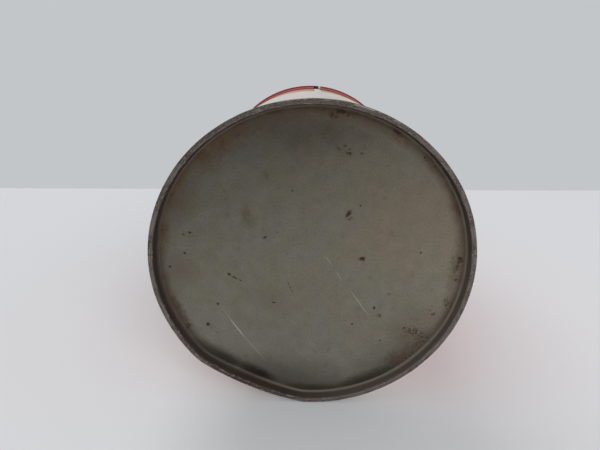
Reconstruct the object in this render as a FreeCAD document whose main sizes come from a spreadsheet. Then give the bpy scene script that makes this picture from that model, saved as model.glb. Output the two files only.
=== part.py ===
import FreeCAD, Part
import math
import os

import Sketcher
from FreeCAD import Placement, Rotation, Vector

# A round tin box: a rolled wall, a base double-seamed to it and a lift-off plug lid.
# Millimetres, +Z up, origin at the middle of the ring that the tin stands on.

# Driving sizes: alias, value and meaning
SIZES = (
    ("sheet", "0.30", "tinplate gauge"),
    ("fold_gap", "0.04", "room between folded layers"),
    ("body_radius", "49.95", "outside of the wall"),
    ("seam_height", "3.2", "top of the base seam"),
    ("seam_corner", "0.45", "outer bend of the ring that the tin stands on"),
    ("body_hook_top", "2.5", "free edge of the wall's hook inside the seam"),
    ("end_hook_foot", "0.95", "free edge of the base's hook inside the seam"),
    ("panel_height", "3.7", "how far the base panel is sunk"),
    ("panel_corner", "1.0", "bend between base panel and seam"),
    ("rim_height", "143.0", "top of the rolled rim"),
    ("rim_roll", "1.0", "outer radius of the roll"),
    ("rim_turn", "300", "degrees that the rim is rolled through"),
    ("lock_width", "3.6", "lock seam down the inside of the wall"),
    ("lock_depth", "0.6", "how far the lock seam stands inwards"),
    ("lock_foot", "6.0", "lower end of the lock seam"),
    ("lock_top", "128.0", "upper end of the lock seam, below the lid's plug"),
    ("solder_width", "4.2", "solder run down the outside of the lock seam"),
    ("solder_depth", "0.12", "thickness of the solder"),
    ("solder_margin", "0.4", "distance from solder to base seam and to roll"),
    ("lid_play", "0.30", "clearance between plug and wall"),
    ("lid_rest", "0.15", "clearance between the lid's edge and the rim"),
    ("lid_radius", "51.4", "outside of the lid's folded edge"),
    ("hem_radius", "49.95", "free edge of the hem under the lid"),
    ("flange_radius", "50.85", "edge of the plug ring's flange inside the hem"),
    ("flange_bend", "0.3", "bend between plug ring and flange"),
    ("plug_depth", "12.0", "how far the plug reaches below the rim"),
    ("plug_lip", "1.3", "width of the plug's turned-in lower edge"),
    ("plug_bend", "0.7", "bend of the plug's lower edge"),
    ("cap_radius", "46.0", "raised middle of the lid"),
    ("cap_height", "7.0", "how far the middle stands above the lid's edge"),
    ("cap_corner", "1.6", "bend round the top of the raised middle"),
    ("cap_foot", "0.8", "bend round the foot of the raised middle"),
)

# Sizes that follow from them
LAYER = "(Size.sheet + Size.fold_gap)"
FOLD_RADIUS = "(1.5 * Size.sheet + Size.fold_gap)"
WALL_INSIDE = "(Size.body_radius - Size.sheet)"
CHUCK_WALL = f"({WALL_INSIDE} - {LAYER})"
END_HOOK = "(Size.body_radius + Size.fold_gap)"
BODY_HOOK = f"({WALL_INSIDE} + 2 * {FOLD_RADIUS})"
SEAM_RADIUS = f"({BODY_HOOK} + {LAYER})"
SEAM_FOLD = f"(Size.seam_height - {FOLD_RADIUS})"
HOOK_FOLD = f"({LAYER} + {FOLD_RADIUS})"
ROLL_MIDDLE = f"({WALL_INSIDE} + Size.rim_roll)"
ROLL_HEIGHT = "(Size.rim_height - Size.rim_roll)"
ROLL_END = "((180 - Size.rim_turn) * 1 deg)"
HEM_FOOT = "(Size.rim_height + Size.lid_rest)"
FLANGE_FOOT = f"({HEM_FOOT} + {LAYER})"
LID_EDGE_TOP = f"({HEM_FOOT} + 2 * {FOLD_RADIUS})"
LID_TOP = f"({LID_EDGE_TOP} + Size.cap_height)"
LID_FOLD = f"(Size.lid_radius - {FOLD_RADIUS})"
PLUG_RADIUS = f"({WALL_INSIDE} - Size.lid_play)"
PLUG_FOOT = "(Size.rim_height - Size.plug_depth)"

BEND = "bend"
INWARDS, OUTWARDS = 1, -1
UPRIGHT = Placement(Vector(), Rotation(Vector(1, 0, 0), 90))
SEAM_SIDE = Placement(Vector(), Rotation(Vector(0, 0, 1), 90))

doc = FreeCAD.newDocument("TinBox")


def make_sheet():
    """Put each driving size in a cell with its alias, and its meaning beside it."""
    sheet = doc.addObject("Spreadsheet::Sheet", "Size")
    for row, (alias, number, meaning) in enumerate(SIZES, start=1):
        sheet.set(f"A{row}", number)
        sheet.setAlias(f"A{row}", alias)
        sheet.set(f"B{row}", meaning)
    doc.recompute()


def value(formula):
    """What a formula over the cells comes to."""
    return float(doc.Size.evalExpression(formula))


def bind_point(sketch, name, geometry, end, radius, height):
    """Tie one end of a sketch element to the cells."""
    for kind, axis, formula in (("DistanceX", "radius", radius), ("DistanceY", "height", height)):
        index = sketch.addConstraint(Sketcher.Constraint(kind, -1, 1, geometry, end, value(formula)))
        sketch.renameConstraint(index, f"{name}_{axis}")
        sketch.setExpression(f"Constraints.{name}_{axis}", formula)


def tangent_arc(begin, end, heading):
    """Arc that leaves begin along heading and reaches end, and the numbers of those two ends."""
    left = Vector(-heading.y, heading.x).normalize()
    chord = end - begin
    reach = chord.dot(chord) / (2 * chord.dot(left))
    centre = begin + left * reach
    first, last = (begin, end) if reach > 0 else (end, begin)
    angles = [math.atan2(point.y - centre.y, point.x - centre.x) for point in (first, last)]
    arc = Part.ArcOfCircle(Part.Circle(centre, Vector(0, 0, 1), abs(reach)), *angles)
    return arc, (1, 2) if reach > 0 else (2, 1)


def draw_face(name, points):
    """Sketch one face of a bent sheet through points of (radius, height).

    A point marked BEND ends an arc that is tangent to the run before it. Other stretches are straight.
    """
    sketch = doc.addObject("Sketcher::SketchObject", name)
    sketch.Placement = UPRIGHT
    places = [Vector(value(point[0]), value(point[1])) for point in points]
    before, before_end = None, 2
    for number in range(1, len(points)):
        begin, end = places[number - 1], places[number]
        ends, joint = (1, 2), "Coincident"
        element = Part.LineSegment(begin, end)
        if BEND in points[number]:
            element, ends = tangent_arc(begin, end, begin - places[number - 2])
            joint = "Tangent"
        geometry = sketch.addGeometry(element)
        if before is None:
            bind_point(sketch, "start", geometry, ends[0], *points[0][:2])
        else:
            sketch.addConstraint(Sketcher.Constraint(joint, before, before_end, geometry, ends[0]))
        bind_point(sketch, f"point_{number}", geometry, ends[1], *points[number][:2])
        before, before_end = geometry, ends[1]
    return sketch


def spun_sheet(name, points, side):
    """Give a drawn face the sheet's thickness on one side and turn it round the tin's axis."""
    section = doc.addObject("Part::Offset2D", f"{name}_section")
    section.Source = draw_face(f"{name}_face", points)
    section.Mode = "Skin"
    section.Fill = True
    section.setExpression("Value", f"{side} * Size.sheet")
    solid = doc.addObject("Part::Revolution", name)
    solid.Source = section
    solid.Axis = Vector(0, 0, 1)
    solid.Angle = 360
    solid.Solid = True
    return solid


def wall_strip(name, inner, outer, foot, top, width):
    """Narrow strip along the wall, bent to its curve, on the +Y side."""
    body = doc.addObject("PartDesign::Body", name)
    body.Placement = SEAM_SIDE
    planes = {feature.Role: feature for feature in body.Origin.OriginFeatures}
    sketch = body.newObject("Sketcher::SketchObject", f"{name}_section")
    sketch.AttachmentSupport = (planes["XZ_Plane"], "")
    sketch.MapMode = "FlatFace"
    corners = ((inner, foot), (outer, foot), (outer, top), (inner, top))
    places = [Vector(value(radius), value(height)) for radius, height in corners]
    for number, corner in enumerate(corners):
        sketch.addGeometry(Part.LineSegment(places[number], places[(number + 1) % 4]))
        bind_point(sketch, f"corner_{number}", number, 1, *corner)
    for number in range(4):
        sketch.addConstraint(Sketcher.Constraint("Coincident", number, 2, (number + 1) % 4, 1))
    strip = body.newObject("PartDesign::Revolution", f"{name}_turn")
    strip.Profile = sketch
    strip.ReferenceAxis = (sketch, ["V_Axis"])
    strip.Midplane = True
    strip.setExpression("Angle", f"{width} / ({outer}) * 1 rad")
    return body


def make_body_wall():
    """Printed wall: hooked into the base seam at its foot, rolled outwards at its rim."""
    wall = spun_sheet("rolled_wall", (
        (BODY_HOOK, "Size.body_hook_top"),
        (BODY_HOOK, HOOK_FOLD),
        (WALL_INSIDE, HOOK_FOLD, BEND),
        (WALL_INSIDE, ROLL_HEIGHT),
        (f"{ROLL_MIDDLE} + Size.rim_roll * cos({ROLL_END})",
         f"{ROLL_HEIGHT} + Size.rim_roll * sin({ROLL_END})", BEND),
    ), OUTWARDS)
    lock = wall_strip("lock_seam", f"{WALL_INSIDE} - Size.lock_depth", f"{WALL_INSIDE} + Size.sheet / 2",
                      "Size.lock_foot", "Size.lock_top", "Size.lock_width")
    whole = doc.addObject("Part::Fuse", "body_wall")
    whole.Base = wall
    whole.Tool = lock
    return whole


def make_side_seam_solder():
    """Bare solder down the outside of the lock seam, between base seam and roll."""
    return wall_strip("side_seam_solder", "Size.body_radius", "Size.body_radius + Size.solder_depth",
                      "Size.seam_height + Size.solder_margin",
                      f"{ROLL_HEIGHT} - Size.rim_roll - Size.solder_margin", "Size.solder_width")


def make_base_end():
    """Base with a sunk panel: its edge runs under the wall and hooks down behind the wall's hook."""
    return spun_sheet("base_end", (
        ("0", "Size.panel_height"),
        (f"{CHUCK_WALL} - Size.panel_corner", "Size.panel_height"),
        (CHUCK_WALL, "Size.panel_height - Size.panel_corner", BEND),
        (CHUCK_WALL, "Size.seam_corner"),
        (f"{CHUCK_WALL} + Size.seam_corner", "0", BEND),
        (f"{SEAM_RADIUS} - Size.seam_corner", "0"),
        (SEAM_RADIUS, "Size.seam_corner", BEND),
        (SEAM_RADIUS, SEAM_FOLD),
        (END_HOOK, SEAM_FOLD, BEND),
        (END_HOOK, "Size.end_hook_foot"),
    ), INWARDS)


def make_lid_top():
    """Cap with a raised middle: its edge is folded under the plug ring's flange."""
    return spun_sheet("lid_top", (
        ("0", LID_TOP),
        ("Size.cap_radius - Size.cap_corner", LID_TOP),
        ("Size.cap_radius", f"{LID_TOP} - Size.cap_corner", BEND),
        ("Size.cap_radius", f"{LID_EDGE_TOP} + Size.cap_foot"),
        ("Size.cap_radius + Size.cap_foot", LID_EDGE_TOP, BEND),
        (LID_FOLD, LID_EDGE_TOP),
        (LID_FOLD, HEM_FOOT, BEND),
        ("Size.hem_radius", HEM_FOOT),
    ), OUTWARDS)


def make_lid_plug_ring():
    """Ring that plugs the mouth: lower edge turned in, upper edge flanged out into the hem."""
    return spun_sheet("lid_plug_ring", (
        (f"{PLUG_RADIUS} - Size.plug_lip", PLUG_FOOT),
        (f"{PLUG_RADIUS} - Size.plug_bend", PLUG_FOOT),
        (PLUG_RADIUS, f"{PLUG_FOOT} + Size.plug_bend", BEND),
        (PLUG_RADIUS, f"{FLANGE_FOOT} - Size.flange_bend"),
        (f"{PLUG_RADIUS} + Size.flange_bend", FLANGE_FOOT, BEND),
        ("Size.flange_radius", FLANGE_FOOT),
    ), INWARDS)


def check(parts):
    """Stop if anything failed to build."""
    for item in doc.Objects:
        if "Invalid" in item.State or "Error" in item.State:
            raise RuntimeError(f"{item.Label} failed: {item.State}")
        if item.isDerivedFrom("Sketcher::SketchObject") and not item.FullyConstrained:
            raise RuntimeError(f"{item.Label} isn't fully constrained")
    for part in parts:
        if part.Shape.isNull() or not part.Shape.isValid() or len(part.Shape.Solids) != 1:
            raise RuntimeError(f"{part.Label} isn't one valid solid")


def main():
    make_sheet()
    makers = (make_body_wall, make_side_seam_solder, make_base_end, make_lid_top, make_lid_plug_ring)
    parts = [make() for make in makers]
    doc.recompute()
    check(parts)
    os.makedirs("parts", exist_ok=True)
    for part in parts:
        part.Shape.exportStep(f"parts/{part.Label}.step")
        box = part.Shape.optimalBoundingBox(False)
        print(f"{part.Label}: {part.Shape.Volume:.0f} mm3, height {box.ZMin:.2f} to {box.ZMax:.2f}, "
              f"radius {box.XMax:.2f}")


main()
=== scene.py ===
"""Looks of a round printed tin box with a seamed base and a plug lid."""
import math
from functools import partial

import bmesh
import bpy
import numpy as np
from bpy.props import FloatProperty, FloatVectorProperty, PointerProperty
from mathutils import Matrix, Vector


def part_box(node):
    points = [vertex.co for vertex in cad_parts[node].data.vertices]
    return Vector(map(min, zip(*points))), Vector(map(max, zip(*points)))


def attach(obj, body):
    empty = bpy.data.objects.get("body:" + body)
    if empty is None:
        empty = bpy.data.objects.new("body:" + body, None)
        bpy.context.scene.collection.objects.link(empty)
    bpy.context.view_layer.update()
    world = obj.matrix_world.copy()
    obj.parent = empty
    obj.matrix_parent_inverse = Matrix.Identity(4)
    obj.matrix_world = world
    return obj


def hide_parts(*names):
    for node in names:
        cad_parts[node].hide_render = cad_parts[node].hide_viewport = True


bl_info = {
    "name": "Printed tin box",
    "version": (1, 0, 0),
    "blender": (4, 5, 0),
    "location": "View3D > Sidebar > Tin box",
    "description": "Builds the looks of a round printed tin with a seamed base and a plug lid",
    "category": "Add Mesh",
}

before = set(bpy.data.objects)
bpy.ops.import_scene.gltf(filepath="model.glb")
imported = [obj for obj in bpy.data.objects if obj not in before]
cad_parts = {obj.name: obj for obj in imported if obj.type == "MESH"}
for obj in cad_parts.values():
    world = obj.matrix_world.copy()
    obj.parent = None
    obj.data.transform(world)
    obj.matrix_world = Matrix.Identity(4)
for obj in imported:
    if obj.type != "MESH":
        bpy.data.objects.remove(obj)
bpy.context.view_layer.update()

MM = 0.001
BASE_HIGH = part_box("base_end")[1]
WALL_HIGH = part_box("body_wall")[1]
SOLDER_LOW, SOLDER_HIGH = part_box("side_seam_solder")
LID_LOW, LID_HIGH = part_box("lid_top")
PLUG_LOW, PLUG_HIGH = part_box("lid_plug_ring")

# Points to the full round of a turned sheet, and the longest run between points across each
ROUND = 192
BASE_RUN = 1.6 * MM
WALL_RUN = 3 * MM
LID_RUN = 2 * MM
# Slope of the lock seam's ends and its sides
LOCK_RAMP = 0.3 * MM
LOCK_EDGE = 0.15 * MM
# Slighter flattening beside the knock, towards +X: angle from the knock, half angle, share of its depth
BESIDE_KNOCK = (math.radians(36), math.radians(22), 0.1)
# Half width of the panel's sag beside the knock, as a share of the panel's radius
SAG_HALF = 0.22
# Below the rolled rim, which is stiff, the wall's waviness dies out over this height
RIM_FADE = 25 * MM
# Waviness of the wall: waves to the full round, share, phase
WALL_WAVES = ((2, 0.6, 0.4), (3, 0.5, 2.1), (7, 0.35, 0.9), (13, 0.3, 4.0), (29, 0.25, 1.3))
# Unevenness of the base panel: share, waves along x and along y, phase
PANEL_WAVES = ((1.0, 2.3, 1.1, 0.6), (0.7, -1.7, 3.1, 2.0), (0.4, 5.2, 2.9, 1.0))
# Points along the section of the rolled rim
ROLL_POINTS = 40
# Edges that bend more than this are cut edges
CUT_EDGE = math.radians(40)
# Solder run: how far it bites into the wall, its rows of points and the points across it
SOLDER_BITE = 0.05 * MM
SOLDER_ROWS = 140
SOLDER_ACROSS = 9
# How much of its width and of its height comes and goes, and over how many rows each evens out
SOLDER_WOBBLE = 0.08
SOLDER_SWELL = 0.2
WOBBLE_ROWS = 9
SWELL_ROWS = 5

# Soft boxes: name, place and size in metres, power in watts. They face a point inside the tin
SOFT_BOXES = (
    ("key_soft_box", (0.9, 1.75, 1.7), 1.8, 22),
    ("front_soft_box", (-0.55, -0.85, 0.65), 0.9, 6),
    ("sky_soft_box", (-0.4, 0.58, -0.88), 0.6, 4.5),
)
LIT_POINT = Vector((0, 0, 0.07))
# Daylight that fills the shade: linear tint and strength
FILL = ((0.95, 0.965, 1.0, 1.0), 0.55)
# Sheet under the lying tin: its ends along the tin's axis and half its width, in metres
LYING_ENDS = (-0.45, 0.31)
LYING_HALF = 1.6
LYING_CLEAR = 0.05 * MM
# Sheet under the standing tin: half its width in metres, and its height
STANDING_HALF = 30.0
STANDING_HEIGHT = -0.2 * MM

# Layout of the wall's print in millimetres: heights above the base, ways round from the middle of the front
WALL_RADIUS = 49.95
LABEL_MIDDLE = 56.5
LABEL_HALF = (38.0, 38.5)
LABEL_CORNER = 9.0
LABEL_LINE_INSET = 3.2
LABEL_STITCH_INSET = 6.2
LABEL_STITCH_PITCH = 5.0
FOOT_TOP = 14.0
FOOT_STITCH_HEIGHT = 8.6
FOOT_STITCHES = 52
BAND_FOOT = 99.0
BAND_STITCH_HEIGHT = 120.0
BAND_STITCHES = 40
FRIEZE_FOOT = 84.0
FRIEZE_DOTS = 40
BACK_EDGE = 116.0
SEAM_MARGIN = 155.3
DOT_PITCH = 12.0

# Picture on the label, in millimetres from its middle
REEL_HALF = (11.5, 17.0)
FLANGE_HALF = (15.5, 2.5)
FLANGE_MIDDLE = (0, 18.6, 0)
STRAND_PITCH = 1.7
BUTTON_MIDDLE = (24.5, 0, 0)
BUTTON_RADIUS = 5.2
BUTTON_HOLE = (1.4, 1.4, 0)
# Needle and its eye: x, y, half length, half width, turn in degrees, strength
NEEDLE = (0, 0, 34, 1.05, 58, 1.0)
NEEDLE_EYE = (14.8, 23.7, 2.0, 0.36, 58, 1.0)

# Layout of the lid's print: radii in millimetres, and counts to the full round
LID_BUTTON = 12.6
LID_BUTTON_HOLE = (3.3, 3.3, 0)
DOILY_RADIUS = 18.0
SCALLOPS = 24
LID_DOTS_RADIUS = 28.5
LID_DOTS = 32
LID_STITCH_RADIUS = 39.2
LID_STITCHES = 40
# Bronze lines on the lid: radius, half width
LID_LINES = ((15.0, 0.45), (48.9, 0.7), (34.0, 0.3))

# Kinds of node, with what some of them are set to do
MATH = "ShaderNodeMath"
PLUS, MINUS, TIMES, TIMES_PLUS, LARGER, NEAR, BELOW, ABOVE, TURN = (
    (MATH, {"operation": name}) for name in (
        "ADD", "SUBTRACT", "MULTIPLY", "MULTIPLY_ADD", "MAXIMUM", "COMPARE",
        "LESS_THAN", "GREATER_THAN", "ARCTAN2"))
VECTOR = "ShaderNodeVectorMath"
SHIFTED, AWAY, STRETCHED, STRETCHED_PLUS, SCALED, LENGTH, FOLDED, ALONG, REPEATED = (
    (VECTOR, {"operation": name}) for name in (
        "ADD", "SUBTRACT", "MULTIPLY", "MULTIPLY_ADD", "SCALE", "LENGTH",
        "ABSOLUTE", "DOT_PRODUCT", "WRAP"))
MIX = "ShaderNodeMix"
BLEND = (MIX, {"data_type": "RGBA"})
MIX_SHADERS = "ShaderNodeMixShader"
NOISE = "ShaderNodeTexNoise"
CELLS = "ShaderNodeTexVoronoi"
RANGE = "ShaderNodeMapRange"
SPLIT = "ShaderNodeSeparateXYZ"
JOIN = "ShaderNodeCombineXYZ"
BACKGROUND = "ShaderNodeBackground"

# Marks on the base panel in millimetres from its middle, +y towards the side seam.
# Rust spots: x, y, half length, half width, turn in degrees, strength
RUST_SPOTS = (
    (-9.9, 17.5, 1.3, 0.55, 118, 0.9),
    (-10.7, 16.1, 0.8, 0.4, 150, 0.6),
    (-13.4, 20.5, 0.4, 0.35, 0, 0.7),
    (-16.0, 3.2, 0.9, 0.6, -20, 1.0),
    (32.7, -24.8, 0.6, 0.55, 0, 1.0),
    (40.4, 0.5, 0.45, 0.4, 0, 0.9),
    (26.0, -5.7, 0.65, 0.5, 20, 1.0),
    (24.3, -6.8, 1.0, 0.3, 25, 0.75),
    (22.4, -7.7, 0.6, 0.3, 30, 0.7),
    (45.1, -4.8, 0.4, 0.35, 0, 0.85),
    (38.7, 7.5, 0.4, 0.35, 0, 0.9),
    (40.8, 6.7, 0.4, 0.35, 0, 0.75),
    (29.5, -16.9, 0.4, 0.35, 0, 0.9),
    (29.6, -27.8, 0.5, 0.3, 0, 0.5),
    (15.2, 8.0, 0.7, 0.35, -42, 0.85),
    (16.5, 28.7, 0.5, 0.3, 0, 0.5),
    (7.8, 23.6, 0.4, 0.3, 0, 0.6),
    (11.0, -14.9, 0.8, 0.35, 5, 0.7),
    (6.2, -8.9, 2.2, 0.25, 65, 0.5),
    (2.4, 10.8, 0.4, 0.3, 0, 0.5),
    (-34.1, 6.7, 0.45, 0.4, 0, 0.7),
    (-19.3, -3.3, 0.5, 0.35, 0, 0.5),
    (-22.0, -14.0, 0.4, 0.55, 0, 0.75),
    (-24.0, -16.6, 0.9, 0.8, 0, 0.45),
    (-26.2, -8.4, 0.5, 0.45, 0, 0.6),
    (-15.5, -20.6, 0.4, 0.35, 0, 0.6),
    (-25.7, -26.1, 0.5, 0.4, 0, 0.5),
    (-5.0, 37.2, 0.6, 0.45, 60, 0.6),
    (-6.6, 38.2, 0.4, 0.35, 0, 0.62),
    (-8.2, 37.3, 0.4, 0.35, 0, 0.6),
    (-8.0, 36.1, 1.0, 0.45, 0, 0.64),
    (-12.0, 36.4, 0.8, 0.35, 0, 0.56),
    (-30.1, 36.7, 0.45, 0.35, 0, 0.7),
    (-2.2, 46.7, 1.3, 0.8, 10, 0.6),
    (-4.5, 47.6, 1.8, 0.6, 5, 0.6),
    (-6.9, 46.9, 1.3, 0.6, 20, 0.56),
    (-20.8, 43.7, 1.8, 0.5, 26, 0.5),
    (-46.6, 5.4, 1.1, 0.8, 60, 0.68),
    (-46.3, 3.0, 1.6, 0.7, 110, 0.55),
    (-46.4, -1.6, 0.7, 0.5, 30, 0.6),
    (-45.3, -10.0, 2.4, 1.0, 72, 0.5),
    (39.3, -25.8, 2.0, 1.0, 118, 0.48),
    (-33.0, -20.6, 0.7, 0.45, 0, 0.7),
    (-36.0, -21.9, 4.4, 1.9, 20, 0.52),
    (-37.0, -22.0, 8.5, 5.0, 35, 0.27),
    (-41.7, -14.5, 0.9, 0.7, 0, 0.55),
    (-38.8, -22.3, 1.1, 0.6, -10, 0.56),
)
# Soft brown stains: x, y, half length, half width, turn in degrees, strength
STAINS = (
    (-35.3, -23.9, 8.0, 5.0, 35, 0.42),
    (-34.8, -30.4, 14.0, 3.3, -49, 0.72),
    (-37.6, -16.6, 8.0, 4.5, 20, 0.25),
    (-46.4, 7.0, 11.0, 1.7, 95, 0.6),
    (29.8, 36.6, 15.0, 4.2, -41, 0.85),
    (15.0, 45.2, 16.0, 3.4, -17, 0.65),
    (42.3, 18.5, 10.0, 5.0, 113, 0.5),
    (42.6, -21.8, 12.0, 2.2, 63, 0.72),
    (46.8, 8.0, 12.0, 1.8, 100, 0.6),
    (42.0, -5.2, 5.0, 4.0, 70, 0.3),
    (21.0, 14.6, 3.2, 1.3, 75, 0.4),
    (-3.8, 46.9, 6.0, 1.8, 4, 0.6),
    (12.0, -13.7, 6.0, 4.0, 30, 0.2),
)
# Painted shade: dark patches along the panel's edge and beside the knock, standing for the dark chuck wall
# that the panel mirrors there and the shade in that corner, listed in the same way
PAINTED_EDGE_SHADE = (
    (26.0, -38.0, 9.0, 2.4, 30, 0.75),
    (15.5, -43.2, 9.0, 2.9, 22, 0.9),
    (-4.0, -47.4, 15.0, 2.3, 1, 0.6),
    (4.0, -44.0, 20.0, 6.5, 4, 0.45),
    (-23.0, -41.6, 13.0, 3.2, -29, 0.62),
    (-26.0, -34.0, 12.0, 4.5, -38, 0.26),
    (-2.0, -40.0, 22.0, 4.5, 2, 0.16),
    (4.0, 41.5, 18.0, 5.5, -3, 0.26),
)
# Bright scratches: start x and y, end x and y, half width, strength
SCRATCHES = (
    (28.1, -18.3, 25.2, -22.2, 0.11, 0.22),
    (25.4, -22.1, 20.0, -29.2, 0.19, 0.85),
    (21.0, -28.0, 13.0, -37.3, 0.14, 0.42),
    (-4.1, 3.1, -6.4, 0.5, 0.11, 0.4),
    (-8.2, -2.0, -10.4, -5.0, 0.12, 0.42),
    (-13.9, -8.7, -20.4, -16.8, 0.12, 0.6),
    (-1.0, -27.6, -5.5, -33.0, 0.1, 0.14),
)
# A bright nick in the foot of the seam, listed as the rust spots are
SEAM_NICK = (-13.1, -50.2, 1.1, 0.3, 75, 0.8)
# Radii in millimetres over which the ring that the tin stands on turns inwards, and the rim's crown begins
RING_INSIDE = (49.45, 49.75)
RIM_CROWN = (50.6, 50.95)


def linear(code):
    """Linear colour of an sRGB hex value."""
    parts = [int(code[start:start + 2], 16) / 255 for start in (0, 2, 4)]
    return [part / 12.92 if part <= 0.04045 else ((part + 0.055) / 1.055) ** 2.4 for part in parts] + [1.0]


def length(name, description, default):
    """Property for a length, given in metres."""
    return FloatProperty(name=name, description=description, default=default, unit="LENGTH", precision=5)


def angle(name, description, degrees):
    """Property for an angle."""
    return FloatProperty(name=name, description=description, default=math.radians(degrees), subtype="ANGLE")


def colour(name, description, code):
    """Property for a colour, given as an sRGB hex value."""
    return FloatVectorProperty(name=name, description=description, default=linear(code), subtype="COLOR",
                               size=4, min=0, max=1)


class TinSizes(bpy.types.PropertyGroup):
    """Sizes of the tin and its lid."""

    gauge: length("Gauge", "Thickness of the tinplate", 0.30 * MM)
    fold_gap: length("Fold gap", "Room between folded layers", 0.04 * MM)
    body_radius: length("Body radius", "Outside of the wall", WALL_RADIUS * MM)
    seam_radius: length("Seam radius", "Outside of the base seam", BASE_HIGH.x)
    seam_height: length("Seam height", "Top of the base seam", 3.2 * MM)
    seam_corner: length("Seam corner", "Bends of the ring that the tin stands on", 0.45 * MM)
    body_hook_top: length("Body hook", "Free edge of the wall's hook inside the seam", 2.5 * MM)
    end_hook_foot: length("End hook", "Free edge of the base's hook inside the seam", 0.95 * MM)
    panel_height: length("Panel height", "How far the base panel is sunk", 3.7 * MM)
    panel_corner: length("Panel corner", "Bend between base panel and seam", 1.0 * MM)
    rim_height: length("Rim height", "Top of the rolled rim", WALL_HIGH.z)
    rim_roll: length("Rim roll", "Outer radius of the roll", 1.0 * MM)
    rim_turn: angle("Rim turn", "How far the rim is rolled round", 300)
    lock_width: length("Lock width", "Lock seam down the inside of the wall", 3.6 * MM)
    lock_depth: length("Lock depth", "How far the lock seam stands inwards", 0.6 * MM)
    lock_foot: length("Lock foot", "Lower end of the lock seam", 6.0 * MM)
    lock_top: length("Lock top", "Upper end of the lock seam", 128.0 * MM)
    lid_radius: length("Lid radius", "Outside of the lid's folded edge", LID_HIGH.x)
    hem_radius: length("Hem radius", "Free edge of the hem under the lid", 49.95 * MM)
    flange_bend: length("Flange bend", "Bend between plug ring and flange", 0.3 * MM)
    plug_radius: length("Plug radius", "Outside of the plug ring", 49.35 * MM)
    plug_lip: length("Plug lip", "Width of the plug's turned-in lower edge", 1.3 * MM)
    plug_bend: length("Plug bend", "Bend of the plug's lower edge", 0.7 * MM)
    cap_radius: length("Cap radius", "Raised middle of the lid", 46.0 * MM)
    cap_corner: length("Cap corner", "Bend round the top of the raised middle", 1.6 * MM)
    cap_foot: length("Cap foot", "Bend round the foot of the raised middle", 0.8 * MM)
    cap_panel: length("Cap panel", "Radius of the sunk panel in the lid's top", 35.2 * MM)
    cap_step: length("Cap step", "How far that panel is sunk", 0.7 * MM)


class WearSizes(bpy.types.PropertyGroup):
    """How far use has bent the sheet."""

    dent_angle: angle("Dent angle", "Where the base seam was knocked, from +X", -69.0)
    dent_half_angle: angle("Dent half angle", "Half the stretch that the knock flattened", 22.5)
    dent_depth: length("Dent depth", "How far the seam was pushed in", 1.85 * MM)
    dent_reach: length("Dent reach", "How far up the wall the knock fades", 24 * MM)
    dent_inner: length("Dent inner radius", "Where the knock ends on the base panel", 32 * MM)
    dent_sag: length("Dent sag", "How far the panel gave way beside the knock", 0.55 * MM)
    panel_wave: length("Panel wave", "Unevenness of the base panel", 0.16 * MM)
    wall_wave: length("Wall wave", "Unevenness of the wall", 0.05 * MM)


class TinColours(bpy.types.PropertyGroup):
    """Colours of print and metal."""

    panel: colour("Base panel", "Dulled tinplate", "737067")
    panel_warm: colour("Warm panel", "Tinplate with a brown bloom", "776d5f")
    panel_olive: colour("Olive panel", "Tinplate with an olive bloom", "716d5b")
    bloom: colour("Bloom", "Brown bloom towards the edges", "523b28")
    # Painted shade along the base panel's edge and beside the knock; the same colour is also the burnt
    # patch across the rim at the side seam
    grime: colour("Grime", "Dark grime along the base panel's edge", "241f1a")
    rust: colour("Rust", "Dark rust where the tin coat is broken", "35221a")
    scratch: colour("Scratch", "Freshly bared tin", "bdb8aa")
    seam: colour("Seam", "Rubbed tinplate of the base seam", "786e68")
    seam_dark: colour("Seam grime", "Grime on the base seam", "3f342e")
    # Partly painted highlight: lighter than the seam, standing for the light that the concave bend catches
    bend: colour("Bend", "Clean tinplate of the bend round the base panel", "938b7b")
    inside: colour("Inside", "Plain tinplate inside", "a8a396")
    inside_warm: colour("Inside bloom", "Lacquer-yellow tinplate inside", "94896f")
    red: colour("Red", "Red ink", "b3261e")
    red_faded: colour("Faded red", "Red ink that the sun has bleached", "c2453a")
    cream: colour("Cream", "Cream ink", "d3c8c1")
    cream_aged: colour("Aged cream", "Cream ink under yellowed varnish", "c9bca9")
    buff: colour("Buff", "Pale yellow ink", "ddd2b0")
    gold: colour("Gold", "Bronze ink", "b08a45")
    # Painted light: paler than the lacquer, to offset the shade that the crown casts on the flanks
    roll: colour("Roll", "Red lacquer on the flanks of the rolled rim", "e0857a")
    # Darker crown of the rim
    roll_worn: colour("Worn roll", "Browned crown of the rim, rubbed by hands", "5c2a29")
    bare: colour("Bared metal", "Tinplate where the print is scuffed off", "8b8781")
    ink_thin: colour("Thin ink", "Ink rubbed thin", "c9ab98")
    thread: colour("Thread", "Dark strands of the printed reel", "8d1a15")
    wood: colour("Reel wood", "Flanges of the printed reel", "a9773f")
    steel: colour("Needle", "Needles of the label", "5f676d")
    solder: colour("Solder", "Dull solder", "c6c2b8")
    solder_dark: colour("Flux", "Flux burnt on at the edges", "4c463d")


class StageSizes(bpy.types.PropertyGroup):
    """Where the tin lies in the picture and how it is looked at."""

    seam_turn: angle("Seam turn", "Side seam's turn from the highest line of the lying tin", 4.4)
    camera_back: length("Camera back", "Camera in front of the base ring's plane", 123.85 * MM)
    camera_up: length("Camera up", "Camera above the lying tin's axis", 56.52 * MM)
    camera_aside: length("Camera aside", "Camera to the left of the axis", 1.33 * MM)
    camera_pitch: angle("Camera pitch", "How far the camera looks down", 18.78)
    camera_yaw: angle("Camera yaw", "How far the camera looks to the left", 0.99)
    lens: FloatProperty(name="Lens", description="Focal length on a sensor 36 mm wide", default=26.14,
                        unit="CAMERA")
    floor: colour("Floor", "Pale floor", "e4e5e6")
    surround: colour("Surround", "Pale wall behind", "c3c6c8")


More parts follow.
